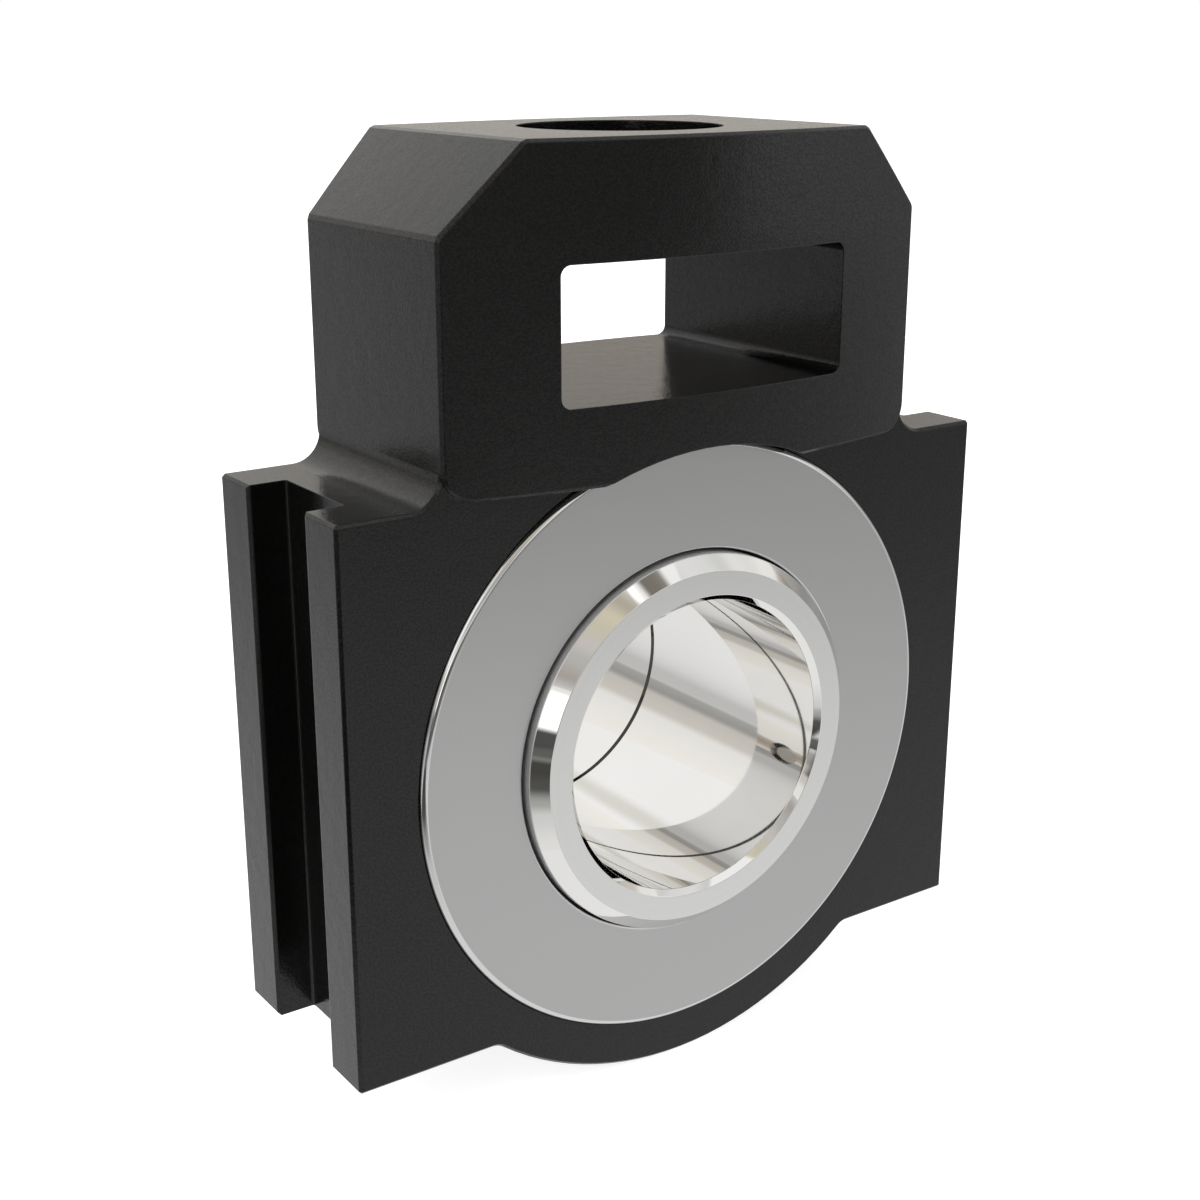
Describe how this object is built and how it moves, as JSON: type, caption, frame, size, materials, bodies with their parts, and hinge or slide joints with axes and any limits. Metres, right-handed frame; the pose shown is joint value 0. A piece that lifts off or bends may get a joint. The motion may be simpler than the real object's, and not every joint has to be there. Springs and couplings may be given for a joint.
{
  "type": "take-up bearing unit",
  "caption": "Slotted cast housing with a nut window and screw hole above a sealed double-row spherical roller bearing with an eccentric locking collar.",
  "frame": {"origin": "centre of the bearing: on the shaft's axis, in the middle plane between the two roller rows", "axes": "+Y along the shaft from the plain end of the inner ring to the locking collar, +Z along the take-up screw away from the bearing, +X across the plate so that the frame is right-handed"},
  "size_m": [0.1504, 0.0786, 0.1878],
  "materials": {
    "housing": "black paint over cast steel, fine grain, semi-matt",
    "cover": "satin turned steel",
    "ring": "ground bearing steel, polished bore",
    "race": "ground bearing steel",
    "roller": "lapped bearing steel",
    "cage": "machined brass",
    "guide": "sintered iron",
    "retainer": "pressed steel sheet",
    "seal": "moulded nitrile rubber",
    "collar": "turned steel",
    "screw": "black oxide steel",
    "fitting": "zinc plated steel"
  },
  "bodies": {
    "housing": {"housing": "housing", "outer_ring": "race", "front_cover": "cover", "rear_cover": "cover", "front_seal_retainer": "retainer", "rear_seal_retainer": "retainer", "grease_fitting": "fitting"},
    "floating_rings": {"front_seal": "seal", "rear_seal": "seal", "guide_ring": "guide"},
    "shaft_parts": {"inner_ring": "ring", "locking_collar": "collar", "collar_screw": "screw"},
    "cages": {"front_cage": "cage", "rear_cage": "cage"},
    "front_roller_01": {"front_roller_01": "roller"},
    "front_roller_02": {"front_roller_02": "roller"},
    "front_roller_03": {"front_roller_03": "roller"},
    "front_roller_04": {"front_roller_04": "roller"},
    "front_roller_05": {"front_roller_05": "roller"},
    "front_roller_06": {"front_roller_06": "roller"},
    "front_roller_07": {"front_roller_07": "roller"},
    "front_roller_08": {"front_roller_08": "roller"},
    "front_roller_09": {"front_roller_09": "roller"},
    "front_roller_10": {"front_roller_10": "roller"},
    "front_roller_11": {"front_roller_11": "roller"},
    "front_roller_12": {"front_roller_12": "roller"},
    "front_roller_13": {"front_roller_13": "roller"},
    "front_roller_14": {"front_roller_14": "roller"},
    "rear_roller_01": {"rear_roller_01": "roller"},
    "rear_roller_02": {"rear_roller_02": "roller"},
    "rear_roller_03": {"rear_roller_03": "roller"},
    "rear_roller_04": {"rear_roller_04": "roller"},
    "rear_roller_05": {"rear_roller_05": "roller"},
    "rear_roller_06": {"rear_roller_06": "roller"},
    "rear_roller_07": {"rear_roller_07": "roller"},
    "rear_roller_08": {"rear_roller_08": "roller"},
    "rear_roller_09": {"rear_roller_09": "roller"},
    "rear_roller_10": {"rear_roller_10": "roller"},
    "rear_roller_11": {"rear_roller_11": "roller"},
    "rear_roller_12": {"rear_roller_12": "roller"},
    "rear_roller_13": {"rear_roller_13": "roller"},
    "rear_roller_14": {"rear_roller_14": "roller"}
  },
  "joints": [
    {"name": "align_tilt", "type": "hinge", "parent": "housing", "child": "floating_rings", "pos_m": [0, 0, 0], "axis": [1, 0, 0], "range_deg": [-1, 1]},
    {"name": "shaft_spin", "type": "hinge", "parent": "floating_rings", "child": "shaft_parts", "pos_m": [0, 0, 0], "axis": [0, 1, 0], "continuous": true},
    {"name": "cage_orbit", "type": "hinge", "parent": "floating_rings", "child": "cages", "pos_m": [0, 0, 0], "axis": [0, 1, 0], "continuous": true},
    {"name": "front_roller_01_spin", "type": "hinge", "parent": "cages", "child": "front_roller_01", "pos_m": [0.04331, -0.00881, 0], "axis": [0.1994, 0.9799, 0], "continuous": true},
    {"name": "front_roller_02_spin", "type": "hinge", "parent": "cages", "child": "front_roller_02", "pos_m": [0.03902, -0.00881, 0.01879], "axis": [0.1796, 0.9799, 0.0865], "continuous": true},
    {"name": "front_roller_03_spin", "type": "hinge", "parent": "cages", "child": "front_roller_03", "pos_m": [0.02701, -0.00881, 0.03386], "axis": [0.1243, 0.9799, 0.1559], "continuous": true},
    {"name": "front_roller_04_spin", "type": "hinge", "parent": "cages", "child": "front_roller_04", "pos_m": [0.00964, -0.00881, 0.04223], "axis": [0.0444, 0.9799, 0.1944], "continuous": true},
    {"name": "front_roller_05_spin", "type": "hinge", "parent": "cages", "child": "front_roller_05", "pos_m": [-0.00964, -0.00881, 0.04223], "axis": [-0.0444, 0.9799, 0.1944], "continuous": true},
    {"name": "front_roller_06_spin", "type": "hinge", "parent": "cages", "child": "front_roller_06", "pos_m": [-0.02701, -0.00881, 0.03386], "axis": [-0.1243, 0.9799, 0.1559], "continuous": true},
    {"name": "front_roller_07_spin", "type": "hinge", "parent": "cages", "child": "front_roller_07", "pos_m": [-0.03902, -0.00881, 0.01879], "axis": [-0.1796, 0.9799, 0.0865], "continuous": true},
    {"name": "front_roller_08_spin", "type": "hinge", "parent": "cages", "child": "front_roller_08", "pos_m": [-0.04331, -0.00881, 0], "axis": [-0.1994, 0.9799, 0], "continuous": true},
    {"name": "front_roller_09_spin", "type": "hinge", "parent": "cages", "child": "front_roller_09", "pos_m": [-0.03902, -0.00881, -0.01879], "axis": [-0.1796, 0.9799, -0.0865], "continuous": true},
    {"name": "front_roller_10_spin", "type": "hinge", "parent": "cages", "child": "front_roller_10", "pos_m": [-0.02701, -0.00881, -0.03386], "axis": [-0.1243, 0.9799, -0.1559], "continuous": true},
    {"name": "front_roller_11_spin", "type": "hinge", "parent": "cages", "child": "front_roller_11", "pos_m": [-0.00964, -0.00881, -0.04223], "axis": [-0.0444, 0.9799, -0.1944], "continuous": true},
    {"name": "front_roller_12_spin", "type": "hinge", "parent": "cages", "child": "front_roller_12", "pos_m": [0.00964, -0.00881, -0.04223], "axis": [0.0444, 0.9799, -0.1944], "continuous": true},
    {"name": "front_roller_13_spin", "type": "hinge", "parent": "cages", "child": "front_roller_13", "pos_m": [0.02701, -0.00881, -0.03386], "axis": [0.1243, 0.9799, -0.1559], "continuous": true},
    {"name": "front_roller_14_spin", "type": "hinge", "parent": "cages", "child": "front_roller_14", "pos_m": [0.03902, -0.00881, -0.01879], "axis": [0.1796, 0.9799, -0.0865], "continuous": true},
    {"name": "rear_roller_01_spin", "type": "hinge", "parent": "cages", "child": "rear_roller_01", "pos_m": [0.04223, 0.00881, 0.00964], "axis": [-0.1944, 0.9799, -0.0444], "continuous": true},
    {"name": "rear_roller_02_spin", "type": "hinge", "parent": "cages", "child": "rear_roller_02", "pos_m": [0.03386, 0.00881, 0.02701], "axis": [-0.1559, 0.9799, -0.1243], "continuous": true},
    {"name": "rear_roller_03_spin", "type": "hinge", "parent": "cages", "child": "rear_roller_03", "pos_m": [0.01879, 0.00881, 0.03902], "axis": [-0.0865, 0.9799, -0.1796], "continuous": true},
    {"name": "rear_roller_04_spin", "type": "hinge", "parent": "cages", "child": "rear_roller_04", "pos_m": [0, 0.00881, 0.04331], "axis": [0, 0.9799, -0.1994], "continuous": true},
    {"name": "rear_roller_05_spin", "type": "hinge", "parent": "cages", "child": "rear_roller_05", "pos_m": [-0.01879, 0.00881, 0.03902], "axis": [0.0865, 0.9799, -0.1796], "continuous": true},
    {"name": "rear_roller_06_spin", "type": "hinge", "parent": "cages", "child": "rear_roller_06", "pos_m": [-0.03386, 0.00881, 0.02701], "axis": [0.1559, 0.9799, -0.1243], "continuous": true},
    {"name": "rear_roller_07_spin", "type": "hinge", "parent": "cages", "child": "rear_roller_07", "pos_m": [-0.04223, 0.00881, 0.00964], "axis": [0.1944, 0.9799, -0.0444], "continuous": true},
    {"name": "rear_roller_08_spin", "type": "hinge", "parent": "cages", "child": "rear_roller_08", "pos_m": [-0.04223, 0.00881, -0.00964], "axis": [0.1944, 0.9799, 0.0444], "continuous": true},
    {"name": "rear_roller_09_spin", "type": "hinge", "parent": "cages", "child": "rear_roller_09", "pos_m": [-0.03386, 0.00881, -0.02701], "axis": [0.1559, 0.9799, 0.1243], "continuous": true},
    {"name": "rear_roller_10_spin", "type": "hinge", "parent": "cages", "child": "rear_roller_10", "pos_m": [-0.01879, 0.00881, -0.03902], "axis": [0.0865, 0.9799, 0.1796], "continuous": true},
    {"name": "rear_roller_11_spin", "type": "hinge", "parent": "cages", "child": "rear_roller_11", "pos_m": [0, 0.00881, -0.04331], "axis": [0, 0.9799, 0.1994], "continuous": true},
    {"name": "rear_roller_12_spin", "type": "hinge", "parent": "cages", "child": "rear_roller_12", "pos_m": [0.01879, 0.00881, -0.03902], "axis": [-0.0865, 0.9799, 0.1796], "continuous": true},
    {"name": "rear_roller_13_spin", "type": "hinge", "parent": "cages", "child": "rear_roller_13", "pos_m": [0.03386, 0.00881, -0.02701], "axis": [-0.1559, 0.9799, 0.1243], "continuous": true},
    {"name": "rear_roller_14_spin", "type": "hinge", "parent": "cages", "child": "rear_roller_14", "pos_m": [0.04223, 0.00881, -0.00964], "axis": [-0.1944, 0.9799, 0.0444], "continuous": true}
  ],
  "couplings": [
    {"joint": "cage_orbit", "follows": "shaft_spin", "ratio": 0.41516},
    {"joint": "front_roller_01_spin", "follows": "shaft_spin", "ratio": -2.8044},
    {"joint": "front_roller_02_spin", "follows": "shaft_spin", "ratio": -2.8044},
    {"joint": "front_roller_03_spin", "follows": "shaft_spin", "ratio": -2.8044},
    {"joint": "front_roller_04_spin", "follows": "shaft_spin", "ratio": -2.8044},
    {"joint": "front_roller_05_spin", "follows": "shaft_spin", "ratio": -2.8044},
    {"joint": "front_roller_06_spin", "follows": "shaft_spin", "ratio": -2.8044},
    {"joint": "front_roller_07_spin", "follows": "shaft_spin", "ratio": -2.8044},
    {"joint": "front_roller_08_spin", "follows": "shaft_spin", "ratio": -2.8044},
    {"joint": "front_roller_09_spin", "follows": "shaft_spin", "ratio": -2.8044},
    {"joint": "front_roller_10_spin", "follows": "shaft_spin", "ratio": -2.8044},
    {"joint": "front_roller_11_spin", "follows": "shaft_spin", "ratio": -2.8044},
    {"joint": "front_roller_12_spin", "follows": "shaft_spin", "ratio": -2.8044},
    {"joint": "front_roller_13_spin", "follows": "shaft_spin", "ratio": -2.8044},
    {"joint": "front_roller_14_spin", "follows": "shaft_spin", "ratio": -2.8044},
    {"joint": "rear_roller_01_spin", "follows": "shaft_spin", "ratio": -2.8044},
    {"joint": "rear_roller_02_spin", "follows": "shaft_spin", "ratio": -2.8044},
    {"joint": "rear_roller_03_spin", "follows": "shaft_spin", "ratio": -2.8044},
    {"joint": "rear_roller_04_spin", "follows": "shaft_spin", "ratio": -2.8044},
    {"joint": "rear_roller_05_spin", "follows": "shaft_spin", "ratio": -2.8044},
    {"joint": "rear_roller_06_spin", "follows": "shaft_spin", "ratio": -2.8044},
    {"joint": "rear_roller_07_spin", "follows": "shaft_spin", "ratio": -2.8044},
    {"joint": "rear_roller_08_spin", "follows": "shaft_spin", "ratio": -2.8044},
    {"joint": "rear_roller_09_spin", "follows": "shaft_spin", "ratio": -2.8044},
    {"joint": "rear_roller_10_spin", "follows": "shaft_spin", "ratio": -2.8044},
    {"joint": "rear_roller_11_spin", "follows": "shaft_spin", "ratio": -2.8044},
    {"joint": "rear_roller_12_spin", "follows": "shaft_spin", "ratio": -2.8044},
    {"joint": "rear_roller_13_spin", "follows": "shaft_spin", "ratio": -2.8044},
    {"joint": "rear_roller_14_spin", "follows": "shaft_spin", "ratio": -2.8044}
  ]
}
